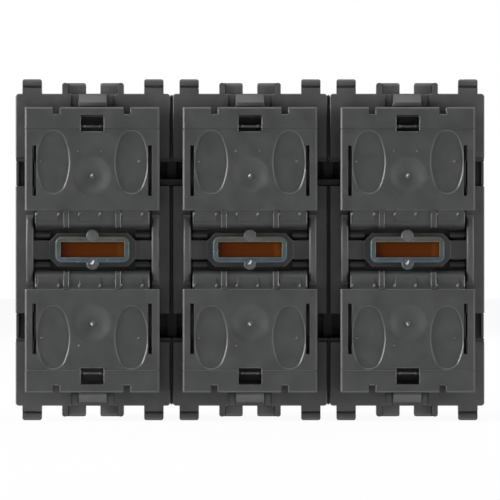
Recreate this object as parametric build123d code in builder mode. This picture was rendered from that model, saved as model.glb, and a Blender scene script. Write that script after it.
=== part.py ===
"""Three-gang rocker push-button switch: three 22.5 x 45 mm modules in one row.

Each module has two spring-returned button plates, hinged back to back about a fixed
cross bar that carries a light guide. Three front frames close one common rear casing.
Millimetres. X runs to the right, Z up, and the front faces -Y. The origin is the centre
of the seating plane, which is the rear face of the front flanges.
"""

import os

from build123d import *

os.makedirs("parts", exist_ok=True)

# The row of modules
module_names = ("left", "middle", "right")
pitch = 22.5
module_gap = 0.35

# Front frame: flange, web behind it and skirt that plugs into the casing
flange_height = 44.7
flange_thickness = 2.2
flange_corner = 0.5
flange_bevel = 0.15
seat_gap = 0.1
seat_relief = 0.2
web_recess = 1.3
web_thickness = 1.2
skirt_inset_side = 0.825
skirt_inset_top = 2.9
skirt_length = 5.0
skirt_wall = 1.0

# Outer and inner snap tabs along the top and bottom edges of a flange
tab_outer_length = 2.1
tab_outer_width = 2.76
tab_outer_x = 8.72
tab_nose_radius = 0.55
tab_nose_sink = 0.1
tab_nose_slope = 0.3
tab_corner = 0.35
tab_inner_length = 1.55
tab_inner_width = 3.37
tab_inner_x = 2.72
tab_strip_width = 0.85
tab_recess = 1.0

# Latch tongue between the inner tabs and the channels beside it
tongue_width = 4.0
tongue_rise = 1.1
tongue_inset = 1.75
tongue_land = 0.5
tongue_slope = 0.1
channel_width = 1.05
channel_gap = 0.05

# Notches in the long edges of a flange
notch_low = 9.1
notch_high = 13.25
notch_ledge = 0.6
notch_ledge_depth = 1.0

# Fixed cross bar, lens boss and bearing ears in the middle of a frame
bar_half_height = 1.3
bar_rise = 2.1
boss_width = 12.4
boss_height = 4.8
boss_corner = 1.2
boss_rise = 2.4
ear_width = 1.05
ear_plate_gap = 0.6
ear_rise = 3.4
ear_shoulder_rise = 2.6
ear_shoulder = 0.6
ear_round = 0.3

# Button plate
plate_inset_side = 1.475
plate_inset_top = 2.0
plate_inner = 5.6
plate_thickness = 1.6
plate_gap = 1.4
plate_bevel = 0.25
strip_height = 3.05
strip_rise = 0.15
clip_hole_width = 3.5
clip_hole_height = 2.45
clip_hole_inset = 1.15
clip_hole_corner = 0.35
clip_bar_inset = 0.65
clip_bar_height = 0.4
clip_bar_depth = 0.6
edge_notch_x = 5.03
edge_notch_width = 1.1
edge_notch_depth = 1.15
slot_x = 8.25
slot_width = 0.55
slot_low = 7.68
slot_high = 14.87
oval_x = 5.58
oval_z = 12.5
oval_half_width = 2.45
oval_side_radius = 8.8
oval_end_radius = 1.9
oval_depth = 0.2
oval_slope = 0.2
dish_z = 10.5
dish_radius = 2.8
dish_depth = 0.35
dish_floor = 0.35

# Hinge roll, its raised ribs and pads, barrels and trunnions of a button
roll_half_width = 8.17
roll_radius = 3.0
roll_wall = 1.2
roll_step = 0.2
roll_reach = 2.6
roll_rib_x = 3.7
roll_rib_width = 0.75
roll_rib_rise = 0.22
roll_rib_corner = 0.37
roll_pad_x = 6.0
roll_pad_shift = 0.3
roll_pad_width = 3.0
roll_pad_rise = 0.12
roll_pad_reach = 1.7
barrel_radius = 0.7
barrel_length = 2.1
barrel_bar_gap = 0.15
barrel_gap = 0.3
arm_thickness = 1.0
trunnion_radius = 0.5
trunnion_clearance = 0.05
trunnion_end_gap = 0.15
ear_gap = 0.28

# Actuator post and stop hooks behind a button plate
post_width = 3.0
post_thickness = 1.2
post_rib_width = 1.0
post_rib_height = 2.6
post_rib_setback = 2.6
post_window_gap = 0.35
post_play = 0.1
hook_x = 6.0
hook_width = 1.4
hook_inset = 5.15
hook_thickness = 0.9
hook_nose = 0.8
hook_height = 0.9
hook_play = 0.1
hook_catch = 0.55
hook_window_gap = 0.4

# Light guide, its window and the lamp behind it
guide_width = 10.6
guide_height = 3.75
guide_corner = 1.0
guide_rim = 0.8
guide_bevel = 0.15
guide_lobe_radius = 0.9
guide_lobe_rise = 0.105
guide_stem_inset_side = 0.4
guide_stem_inset_top = 0.475
guide_clearance = 0.1
guide_pipe_width = 3.2
guide_pipe_height = 2.2
guide_barb = 0.35
guide_barb_height = 0.6
window_border_side = 0.75
window_border_top = 0.775
window_thickness = 0.5
window_sink = 0.4
window_clearance = 0.05
lamp_width = 3.0
lamp_height = 1.6
lamp_thickness = 1.2
lamp_bevel = 0.25
lamp_gap = 0.4

# Return springs: forked leaves cut from sheet steel
leaf_thickness = 0.25
leaf_root_low = 5.5
leaf_root_length = 2.4
leaf_arm_x = 3.6
leaf_arm_width = 1.2
leaf_tip_inset = 5.95
leaf_tip_length = 0.8
leaf_play = 0.05

# Rear casing
casing_depth = 20.0
casing_corner = 1.0
casing_bevel = 0.4
casing_wall = 1.3
rim_wall_side = 0.5
rim_wall_top = 1.0
rim_gap_side = 0.25
rim_gap_top = 0.15
rim_play = 0.2
latch_x = 5.5
latch_width = 3.0
latch_length = 2.2
latch_rise = 0.75
latch_start = 1.9
latch_play = 0.2
seam_rib_width = 1.4
seam_rib_depth = 1.5
seam_rib_sink = 2.0
seam_foot_width = 3.2
seam_foot_gap = 0.1
seam_foot_height = 0.9
seam_foot_rise = 0.8
seam_fin_clearance = 0.05
seam_fin_sink = 1.0
seam_fin_inset = 0.15
side_tongue_thickness = 0.4
side_tongue_sink = 0.2

# Circuit board, its bosses and screws
board_gap_side = 0.6
board_gap_top = 0.4
board_thickness = 1.6
board_y = 9.0
board_screw_inset_side = 2.4
board_screw_inset_top = 2.7
board_hole_radius = 1.1
board_boss_radius = 2.2
screw_radius = 0.85
screw_clearance = 0.05
screw_length = 6.0
screw_head_radius = 1.8
screw_head_height = 1.3
screw_slot_width = 0.5
screw_slot_depth = 0.6

# Momentary switches under the buttons
switch_inset = 7.85
switch_size = 6.0
switch_thickness = 3.5
switch_bevel = 0.3
plunger_radius = 1.65
plunger_clearance = 0.1
plunger_reach = 1.3
plunger_depth = 2.0
plunger_travel = 0.7

# Terminal block: one pole for each button, one common pole and one for the lamps
pole_count = 8
pole_pitch = 5.0
block_side = 0.9
block_reach = 2.6
block_height = 9.0
block_floor_gap = 0.7
block_clearance = 0.2
block_bevel = 0.3
wire_radius = 1.25
wire_rise = 1.45
wire_wall = 2.4
cavity_width = 4.0
cavity_length = 5.2
cavity_height = 5.6
cavity_floor = 2.2
cage_width = 3.6
cage_length = 4.4
cage_height = 5.0
cage_play = 0.2
cage_side = 0.4
cage_floor = 1.0
cage_roof = 0.8
contact_width = 2.4
contact_thickness = 0.4
contact_gap = 0.05
terminal_radius = 1.2
terminal_clearance = 0.05
terminal_head_radius = 1.7
terminal_head_height = 1.2
terminal_well_clearance = 0.2
terminal_head_sink = 0.2
driver_hole_radius = 1.9

# Widths and heights that follow from the sizes above
flange_width = pitch - module_gap
half_width = flange_width / 2
half_height = flange_height / 2
tab_outer_reach = half_height + tab_outer_length
tab_inner_reach = half_height + tab_inner_length
skirt_width = flange_width - 2 * skirt_inset_side
skirt_height = flange_height - 2 * skirt_inset_top
web_height = skirt_height - skirt_wall
plate_width = flange_width - 2 * plate_inset_side
plate_outer = half_height - plate_inset_top
strip_start = plate_outer - strip_height
switch_z = plate_outer - switch_inset
hook_z = plate_outer - hook_inset
leaf_tip_z = plate_outer - leaf_tip_inset
clip_hole_high = plate_outer - clip_hole_inset
clip_hole_low = clip_hole_high - clip_hole_height
clip_bar_z = clip_hole_low + clip_bar_inset + clip_bar_height / 2
roll_end = plate_inner - roll_reach
roll_pad_low = plate_inner - roll_pad_reach
pivot_z = bar_half_height + barrel_bar_gap + barrel_radius
ear_half_height = plate_inner - ear_plate_gap
ear_inner = roll_half_width + ear_gap
guide_lobe_z = guide_height / 2 + guide_lobe_rise
guide_stem_width = guide_width - 2 * guide_stem_inset_side
guide_stem_height = guide_height - 2 * guide_stem_inset_top
window_width = guide_width - 2 * window_border_side
window_height = guide_height - 2 * window_border_top
casing_width = (len(module_names) - 1) * pitch + skirt_width + 2 * (rim_gap_side + rim_wall_side)
casing_height = skirt_height + 2 * (rim_gap_top + rim_wall_top)
seat_start = casing_height / 2 + seat_gap
seam_foot_low = notch_low + seam_foot_gap
board_width = casing_width - 2 * (casing_wall + board_gap_side)
board_height = casing_height - 2 * (casing_wall + board_gap_top)
board_screw_x = board_width / 2 - board_screw_inset_side
board_screw_z = board_height / 2 - board_screw_inset_top
block_width = (pole_count - 1) * pole_pitch + cavity_width + 2 * block_side
block_low = casing_wall + block_floor_gap - casing_height / 2
block_high = block_low + block_height
cavity_low = block_low + cavity_floor
cavity_high = cavity_low + cavity_height
cage_low = cavity_low + cage_play
cage_high = cage_low + cage_height
wire_z = cage_low + cage_floor + wire_rise
contact_z = cage_high - cage_roof - contact_gap - contact_thickness / 2

# Levels along Y that follow from the sizes above
flange_front = -flange_thickness
web_front = flange_front + web_recess
web_rear = web_front + web_thickness
plate_rear = flange_front - plate_gap
plate_front = plate_rear - plate_thickness
strip_front = plate_front - strip_rise
roll_y = plate_front + roll_step + roll_radius
pivot_y = web_front - barrel_gap - barrel_radius
barrel_start = roll_half_width - barrel_length
boss_front = web_front - boss_rise
guide_front = boss_front - guide_rim
window_rear = guide_front + window_sink + window_thickness
switch_front = board_y - switch_thickness
plunger_front = switch_front - plunger_reach
post_tip = plunger_front - post_play
lamp_front = board_y - lamp_thickness
board_rear = board_y + board_thickness
casing_floor = casing_depth - casing_wall
block_rear = casing_depth + block_reach
cavity_rear = block_rear - wire_wall
cavity_front = cavity_rear - cavity_length
terminal_y = cavity_rear - cavity_length / 2

# Places that repeat
module_centres = [(index - (len(module_names) - 1) / 2) * pitch for index in range(len(module_names))]
seam_centres = [(low + high) / 2 for low, high in zip(module_centres, module_centres[1:])]
pole_centres = [(index - (pole_count - 1) / 2) * pole_pitch for index in range(pole_count)]
board_screws = [(x, z) for x in (-board_screw_x, board_screw_x) for z in (-board_screw_z, board_screw_z)]


def front_view(y):
    """Plane seen from the front: local x to the right, local y up, extruding towards the front."""
    return Plane(origin=(0, y, 0), x_dir=(1, 0, 0), z_dir=(0, -1, 0))


def side_view(x):
    """Plane whose local x is Y and local y is Z, extruding towards +X."""
    return Plane.YZ.offset(x)


# Outer snap tab, with a rounded nose behind a shallow groove
nose_z = tab_outer_reach - tab_nose_radius
nose_y = flange_front + tab_nose_sink + tab_nose_radius
tab_root = half_height - flange_corner
with BuildPart() as outer_tab:
    with BuildSketch(side_view(-tab_outer_width / 2)):
        with BuildLine():
            Polyline(
                (0, tab_root),
                (0, half_height),
                (nose_y + tab_nose_radius, nose_z),
                (nose_y, nose_z),
                (nose_y, nose_z - tab_nose_radius),
                (flange_front, nose_z - tab_nose_radius - tab_nose_slope),
                (flange_front, tab_root),
                close=True,
            )
        make_face()
        with Locations((nose_y, nose_z)):
            Circle(tab_nose_radius)
    extrude(amount=tab_outer_width)
    with BuildSketch(front_view(0)):
        RectangleRounded(tab_outer_width, 2 * tab_outer_reach, tab_corner)
    extrude(amount=flange_thickness, mode=Mode.INTERSECT)

# Bearing ear of the left side: an arched wall with rounded upper edges
shoulder_y = web_front - ear_shoulder_rise
shoulder_z = ear_half_height - ear_shoulder
with BuildPart() as ear:
    with BuildSketch(side_view(-ear_inner - ear_width)):
        with BuildLine():
            ThreePointArc((shoulder_y, -shoulder_z), (web_front - ear_rise, 0), (shoulder_y, shoulder_z))
            Polyline(
                (shoulder_y, shoulder_z),
                (shoulder_y + ear_shoulder, ear_half_height),
                (web_rear, ear_half_height),
                (web_rear, -ear_half_height),
                (shoulder_y + ear_shoulder, -ear_half_height),
                (shoulder_y, -shoulder_z),
            )
        make_face()
    extrude(amount=ear_width)
    fillet(ear.edges().filter_by(GeomType.CIRCLE), ear_round)

# Front frame of the middle module, drawn for its top half first
with BuildPart() as frame:
    with BuildSketch(front_view(0)):
        RectangleRounded(flange_width, flange_height, flange_corner)
    extrude(amount=flange_thickness)
    chamfer(frame.faces().sort_by(Axis.Y)[0].outer_wire().edges(), flange_bevel)
    with Locations((-tab_outer_x, 0, 0), (tab_outer_x, 0, 0)):
        add(outer_tab.part)
    # Inner tabs are set back, each with a raised strip on its outer side
    inner_tab_height = tab_inner_length + flange_corner
    inner_tab_z = tab_inner_reach - inner_tab_height / 2
    strip_x = tab_inner_x + (tab_inner_width - tab_strip_width) / 2
    with BuildSketch(front_view(0)):
        with Locations((-tab_inner_x, inner_tab_z), (tab_inner_x, inner_tab_z)):
            RectangleRounded(tab_inner_width, inner_tab_height, tab_corner)
        with Locations((-tab_inner_x, tab_root), (tab_inner_x, tab_root)):
            Rectangle(tab_inner_width, 4 * tab_corner)
    extrude(amount=flange_thickness - tab_recess)
    with BuildSketch(front_view(0)):
        with Locations((-strip_x, inner_tab_z), (strip_x, inner_tab_z)):
            RectangleRounded(tab_strip_width, inner_tab_height, tab_corner)
        with Locations((-strip_x, tab_root), (strip_x, tab_root)):
            Rectangle(tab_strip_width, 4 * tab_corner)
    extrude(amount=flange_thickness)
    # Channels beside the latch tongue, and the tongue's land and ramp between them
    channel_x = tongue_width / 2 + channel_gap + channel_width / 2
    channel_z = half_height - tongue_inset / 2
    with BuildSketch(front_view(flange_front)):
        with Locations((-channel_x, channel_z), (channel_x, channel_z)):
            Rectangle(channel_width, tongue_inset + flange_corner)
    extrude(amount=-tab_recess, mode=Mode.SUBTRACT)
    with BuildSketch(side_view(-tongue_width / 2)):
        with BuildLine():
            Polyline(
                (flange_front + tab_recess, half_height),
                (flange_front, half_height),
                (flange_front, half_height - tongue_land),
                (flange_front - tongue_rise, half_height - tongue_inset + tongue_slope),
                (flange_front, half_height - tongue_inset),
                (flange_front + tab_recess, half_height - tongue_inset),
                close=True,
            )
        make_face()
    extrude(amount=tongue_width)
    # The bottom half repeats the top one
    split(bisect_by=Plane.XY, keep=Keep.TOP)
    mirror(about=Plane.XY)
    # The flange is relieved behind, so that only its top and bottom strips seat
    with BuildSketch(front_view(0)):
        Rectangle(flange_width, 2 * seat_start)
    extrude(amount=seat_relief, mode=Mode.SUBTRACT)
    # Skirt behind the flange, opening in front of the web, and the web
    with BuildSketch(front_view(skirt_length)):
        Rectangle(skirt_width, skirt_height)
        Rectangle(skirt_width - 2 * skirt_wall, skirt_height - 2 * skirt_wall, mode=Mode.SUBTRACT)
    extrude(amount=skirt_length + seat_relief)
    with BuildSketch(front_view(0)):
        Rectangle(2 * ear_inner, web_height)
    extrude(amount=flange_thickness, mode=Mode.SUBTRACT)
    with BuildSketch(front_view(web_rear)):
        Rectangle(skirt_width - skirt_wall, web_height)
    extrude(amount=web_thickness)
    # Notches in the long edges: deep pockets, each with one shallow ledge at its far end
    pocket_width = half_width - ear_inner
    pocket_x = ear_inner + pocket_width / 2
    for end in (-1, 1):
        pocket_z = end * (notch_low + notch_high - notch_ledge) / 2
        with BuildSketch(front_view(skirt_length)):
            with Locations((-pocket_x, pocket_z), (pocket_x, pocket_z)):
                Rectangle(pocket_width, notch_high - notch_ledge - notch_low)
        extrude(amount=skirt_length + flange_thickness, mode=Mode.SUBTRACT)
        ledge_z = end * (notch_high - notch_ledge / 2)
        with BuildSketch(front_view(flange_front + notch_ledge_depth)):
            with Locations((-pocket_x, ledge_z), (pocket_x, ledge_z)):
                Rectangle(pocket_width, notch_ledge)
        extrude(amount=notch_ledge_depth, mode=Mode.SUBTRACT)
    # Cross bar and lens boss, with the hole that takes the light guide's stem
    with BuildSketch(front_view(web_front)):
        Rectangle(2 * ear_inner, 2 * bar_half_height)
    extrude(amount=bar_rise)
    with BuildSketch(front_view(web_front)) as boss:
        Rectangle(boss_width, boss_height)
        chamfer(boss.vertices(), boss_corner)
    extrude(amount=boss_rise)
    with BuildSketch(front_view(web_rear)):
        Rectangle(guide_stem_width + 2 * guide_clearance, guide_stem_height + 2 * guide_clearance)
    extrude(amount=web_thickness + boss_rise, mode=Mode.SUBTRACT)
    # Both ears, and the blind bearings for the trunnions
    add(ear.part)
    add(ear.part.mirror(Plane.YZ))
    for side in (-1, 1):
        with BuildSketch(side_view(side * ear_inner)):
            with Locations((pivot_y, pivot_z), (pivot_y, -pivot_z)):
                Circle(trunnion_radius + trunnion_clearance)
        extrude(amount=side * ear_width, mode=Mode.SUBTRACT)
    # Windows in the web for the actuator posts and the stop hooks
    hook_window_low = hook_z - hook_window_gap
    hook_window_high = hook_z + hook_thickness + hook_nose - hook_catch
    hook_window_z = (hook_window_low + hook_window_high) / 2
    with BuildSketch(front_view(web_rear)):
        with Locations((0, switch_z), (0, -switch_z)):
            Rectangle(post_width + 2 * post_window_gap, post_rib_height + 2 * post_window_gap)
        with Locations(*[(a * hook_x, b * hook_window_z) for a in (-1, 1) for b in (-1, 1)]):
            Rectangle(hook_width + 2 * hook_window_gap, hook_window_high - hook_window_low)
    extrude(amount=web_thickness, mode=Mode.SUBTRACT)
    # Latch wedges on the top and bottom walls of the skirt
    for latch_centre in (-latch_x, latch_x):
        with BuildSketch(side_view(latch_centre - latch_width / 2)):
            for end in (-1, 1):
                wedge_root = end * (skirt_height - skirt_wall) / 2
                wedge_foot = end * skirt_height / 2
                wedge_tip = end * (skirt_height / 2 + latch_rise)
                with BuildLine():
                    Polyline(
                        (latch_start, wedge_root),
                        (latch_start, wedge_tip),
                        (latch_start + latch_length, wedge_foot),
                        (latch_start + latch_length, wedge_root),
                        close=True,
                    )
                make_face()
        extrude(amount=latch_width)

# Narrow rib on the hinge roll, with a rounded lower end
rib_radius = roll_radius + roll_rib_rise
with BuildPart() as roll_rib:
    with BuildSketch(side_view(-roll_rib_width / 2)):
        with Locations((roll_y, plate_inner)):
            Circle(rib_radius)
            Circle(roll_radius - roll_rib_rise, mode=Mode.SUBTRACT)
    extrude(amount=roll_rib_width)
    rib_reach = plate_inner - roll_end
    with BuildSketch(front_view(plate_front + roll_radius)):
        with Locations((0, roll_end + rib_reach / 2)):
            Rectangle(roll_rib_width, rib_reach)
            RectangleRounded(roll_rib_width, rib_reach, roll_rib_corner, mode=Mode.INTERSECT)
        with Locations((0, plate_inner - roll_rib_corner)):
            Rectangle(roll_rib_width, 2 * roll_rib_corner)
    extrude(amount=2 * roll_radius, mode=Mode.INTERSECT)

# Button of the upper row: plate, hinge roll, barrels, trunnions, post and hooks in one moulding
with BuildPart() as button:
    with BuildSketch(side_view(-plate_width / 2)):
        with BuildLine():
            Polyline(
                (plate_rear, plate_inner),
                (plate_front + plate_bevel / 2, plate_inner),
                (plate_front, plate_inner + plate_bevel / 2),
                (plate_front, strip_start - strip_rise),
                (strip_front, strip_start),
                (strip_front, plate_outer - plate_bevel),
                (strip_front + plate_bevel, plate_outer),
                (plate_rear, plate_outer),
                close=True,
            )
        make_face()
    extrude(amount=plate_width)
    # Bevels down both long edges, one run on the plate and one on the raised strip
    bevel_break = strip_start - strip_rise / 2
    for low, high, front in (
        (plate_inner, bevel_break, plate_front),
        (bevel_break, plate_outer, strip_front),
    ):
        with BuildSketch(Plane.XY.offset(low)):
            for side in (-1, 1):
                edge_x = side * plate_width / 2
                with BuildLine():
                    Polyline(
                        (edge_x - side * 2 * plate_bevel, front - plate_bevel),
                        (edge_x + side * plate_bevel, front - plate_bevel),
                        (edge_x + side * plate_bevel, front + 2 * plate_bevel),
                        close=True,
                    )
                make_face()
        extrude(amount=high - low, mode=Mode.SUBTRACT)
    # Hinge roll, curving down from the plate towards the cross bar
    roll_inner_radius = roll_radius - roll_wall
    roll_end_y = roll_y - (roll_radius**2 - (plate_inner - roll_end) ** 2) ** 0.5
    roll_root = plate_inner + roll_wall / 2
    with BuildSketch(side_view(-roll_half_width)):
        with BuildLine():
            Line((roll_y, roll_end), (roll_end_y, roll_end))
            RadiusArc((roll_end_y, roll_end), (roll_y - roll_radius, plate_inner), roll_radius)
            Polyline(
                (roll_y - roll_radius, plate_inner),
                (roll_y - roll_radius, roll_root),
                (roll_y - roll_inner_radius, roll_root),
                (roll_y - roll_inner_radius, plate_inner),
            )
            RadiusArc(
                (roll_y - roll_inner_radius, plate_inner),
                (roll_y, plate_inner - roll_inner_radius),
                -roll_inner_radius,
            )
            Line((roll_y, plate_inner - roll_inner_radius), (roll_y, roll_end))
        make_face()
    extrude(amount=2 * roll_half_width)
    # Two narrow ribs and three wide pads stand a little proud of the roll
    with Locations((-roll_rib_x, 0, 0), (roll_rib_x, 0, 0)):
        add(roll_rib.part)
    pad_radius = roll_radius + roll_pad_rise
    pad_foot = roll_pad_low + roll_pad_rise
    pad_y = roll_y - (pad_radius**2 - (plate_inner - pad_foot) ** 2) ** 0.5
    for pad_x in (-roll_pad_x, 0, roll_pad_x):
        with BuildSketch(side_view(pad_x - roll_pad_shift - roll_pad_width / 2)):
            with BuildLine():
                RadiusArc((pad_y, pad_foot), (roll_y - pad_radius, plate_inner), pad_radius)
                Polyline(
                    (roll_y - pad_radius, plate_inner),
                    (plate_front + roll_wall, plate_inner),
                    (pad_y + roll_wall, pad_foot),
                    (pad_y + roll_wall / 2, roll_pad_low),
                    (pad_y, pad_foot),
                )
            make_face()
        extrude(amount=roll_pad_width)
    # Arms with a barrel and a trunnion at each end of the roll
    arm_high = roll_end + barrel_radius
    arm_y = pivot_y + barrel_radius - arm_thickness / 2
    for side in (-1, 1):
        with BuildSketch(side_view(side * barrel_start)):
            with Locations((pivot_y, pivot_z)):
                Circle(barrel_radius)
            with Locations((arm_y, (pivot_z + arm_high) / 2)):
                Rectangle(arm_thickness, arm_high - pivot_z)
        extrude(amount=side * barrel_length)
        with BuildSketch(side_view(side * roll_half_width)):
            with Locations((pivot_y, pivot_z)):
                Circle(trunnion_radius)
        extrude(amount=side * (ear_gap + ear_width - trunnion_end_gap))
    # Shallow ovals of four arcs with sloping walls, and the dished centre
    oval_arc_x = oval_side_radius - oval_half_width
    for side in (-1, 1):
        for y, inset in ((plate_front, 0), (plate_front + oval_depth, oval_slope)):
            with BuildSketch(front_view(y)) as oval:
                with Locations((side * oval_x - oval_arc_x, oval_z)):
                    Circle(oval_side_radius - inset)
                with Locations((side * oval_x + oval_arc_x, oval_z)):
                    Circle(oval_side_radius - inset, mode=Mode.INTERSECT)
                tips = oval.vertices().sort_by(Axis.Y)
                fillet((tips[0], tips[-1]), oval_end_radius - inset)
        loft(mode=Mode.SUBTRACT)
    with BuildSketch(front_view(plate_front)):
        with Locations((0, dish_z)):
            Circle(dish_radius)
    with BuildSketch(front_view(plate_front + dish_depth)):
        with Locations((0, dish_z)):
            Circle(dish_floor)
    loft(mode=Mode.SUBTRACT)
    # Side slots, edge notches and the clip hole go right through the plate
    slot_z = (slot_low + slot_high) / 2
    clip_hole_z = (clip_hole_low + clip_hole_high) / 2
    with BuildSketch(front_view(plate_rear)):
        with Locations((-slot_x, slot_z), (slot_x, slot_z)):
            Rectangle(slot_width, slot_high - slot_low)
        with Locations((-edge_notch_x, plate_outer), (edge_notch_x, plate_outer)):
            Rectangle(edge_notch_width, 2 * edge_notch_depth)
        with Locations((0, clip_hole_z)):
            RectangleRounded(clip_hole_width, clip_hole_height, clip_hole_corner)
    extrude(amount=plate_thickness + strip_rise, mode=Mode.SUBTRACT)
    # Bar low down in the clip hole, behind which a cap's clip catches
    with BuildSketch(front_view(plate_rear)):
        with Locations((0, clip_bar_z)):
            Rectangle(clip_hole_width, clip_bar_height)
    extrude(amount=clip_bar_depth)
    # Cross-shaped post that presses the switch, and two hooks that stop the button in front
    with BuildSketch(front_view(post_tip)):
        with Locations((0, switch_z)):
            Rectangle(post_width, post_thickness)
    extrude(amount=post_tip - plate_rear)
    with BuildSketch(front_view(post_tip - post_rib_setback)):
        with Locations((0, switch_z)):
            Rectangle(post_rib_width, post_rib_height)
    extrude(amount=post_tip - post_rib_setback - plate_rear)
    catch_y = web_rear + hook_play
    for hook_centre in (-hook_x, hook_x):
        with BuildSketch(side_view(hook_centre - hook_width / 2)):
            with BuildLine():
                Polyline(
                    (plate_rear, hook_z),
                    (plate_rear, hook_z + hook_thickness),
                    (catch_y, hook_z + hook_thickness),
                    (catch_y, hook_z + hook_thickness + hook_nose),
                    (catch_y + hook_height, hook_z + hook_thickness),
                    (catch_y + hook_height, hook_z),
                    close=True,
                )
            make_face()
        extrude(amount=hook_width)

# Return spring of the upper row: a root that lies on the web and two arms behind the plate
leaf_root_high = leaf_root_low + leaf_root_length
leaf_end = leaf_tip_z + leaf_tip_length
leaf_y = plate_rear + leaf_play
with BuildPart() as spring:
    with BuildSketch(side_view(-leaf_arm_x - leaf_arm_width / 2)):
        with BuildLine():
            Polyline(
                (web_front, leaf_root_low),
                (web_front, leaf_root_high),
                (leaf_y + leaf_thickness, leaf_tip_z),
                (leaf_y + 2 * leaf_thickness, leaf_end),
                (leaf_y + leaf_thickness, leaf_end),
                (leaf_y, leaf_tip_z),
                (web_front - leaf_thickness, leaf_root_high),
                (web_front - leaf_thickness, leaf_root_low),
                close=True,
            )
        make_face()
    extrude(amount=2 * leaf_arm_x + leaf_arm_width)
    with BuildSketch(front_view(web_front)):
        with Locations((0, (leaf_root_high + leaf_end) / 2)):
            Rectangle(2 * leaf_arm_x - leaf_arm_width, leaf_end - leaf_root_high)
    extrude(amount=web_front - leaf_y, mode=Mode.SUBTRACT)

# Light guide: rim with two lobes in front, stem through the boss, pipe to the lamp
stem_rear = web_rear + guide_clearance + guide_barb_height
pipe_rear = lamp_front - lamp_gap
with BuildPart() as guide:
    with BuildSketch(front_view(boss_front)):
        RectangleRounded(guide_width, guide_height, guide_corner)
        with Locations((0, guide_lobe_z), (0, -guide_lobe_z)):
            Circle(guide_lobe_radius)
    extrude(amount=guide_rim)
    chamfer(guide.faces().sort_by(Axis.Y)[0].outer_wire().edges(), guide_bevel)
    with BuildSketch(front_view(stem_rear)):
        Rectangle(guide_stem_width, guide_stem_height)
    extrude(amount=stem_rear - boss_front)
    with BuildSketch(Plane.XY.offset(-guide_stem_height / 2)):
        for side in (-1, 1):
            stem_x = side * guide_stem_width / 2
            with BuildLine():
                Polyline(
                    (stem_x - side * guide_barb, web_rear + guide_clearance),
                    (stem_x + side * guide_barb, web_rear + guide_clearance),
                    (stem_x, stem_rear),
                    (stem_x - side * guide_barb, stem_rear),
                    close=True,
                )
            make_face()
    extrude(amount=guide_stem_height)
    with BuildSketch(front_view(pipe_rear)):
        Rectangle(guide_pipe_width, guide_pipe_height)
    extrude(amount=pipe_rear - stem_rear)
    with BuildSketch(front_view(guide_front)):
        Rectangle(window_width, window_height)
    extrude(amount=-(window_sink + window_thickness), mode=Mode.SUBTRACT)

# Flat tinted pane at the bottom of the light guide's recess
with BuildPart() as window:
    with BuildSketch(front_view(window_rear)):
        Rectangle(window_width - 2 * window_clearance, window_height - 2 * window_clearance)
    extrude(amount=window_thickness)

# Lamp on the board, right behind the light pipe
with BuildPart() as lamp:
    with BuildSketch(front_view(board_y)):
        Rectangle(lamp_width, lamp_height)
    extrude(amount=lamp_thickness)
    chamfer(lamp.faces().sort_by(Axis.Y)[0].edges(), lamp_bevel)

# Momentary switch of the upper row, and its round plunger
with BuildPart() as switch:
    with BuildSketch(front_view(board_y)):
        with Locations((0, switch_z)):
            Rectangle(switch_size, switch_size)
    extrude(amount=switch_thickness)
    chamfer(switch.faces().sort_by(Axis.Y)[0].edges(), switch_bevel)
    with BuildSketch(front_view(switch_front)):
        with Locations((0, switch_z)):
            Circle(plunger_radius + plunger_clearance)
    extrude(amount=-(plunger_depth + plunger_travel), mode=Mode.SUBTRACT)

with BuildPart() as plunger:
    with BuildSketch(front_view(switch_front + plunger_depth)):
        with Locations((0, switch_z)):
            Circle(plunger_radius)
    extrude(amount=plunger_depth + plunger_reach)

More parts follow.
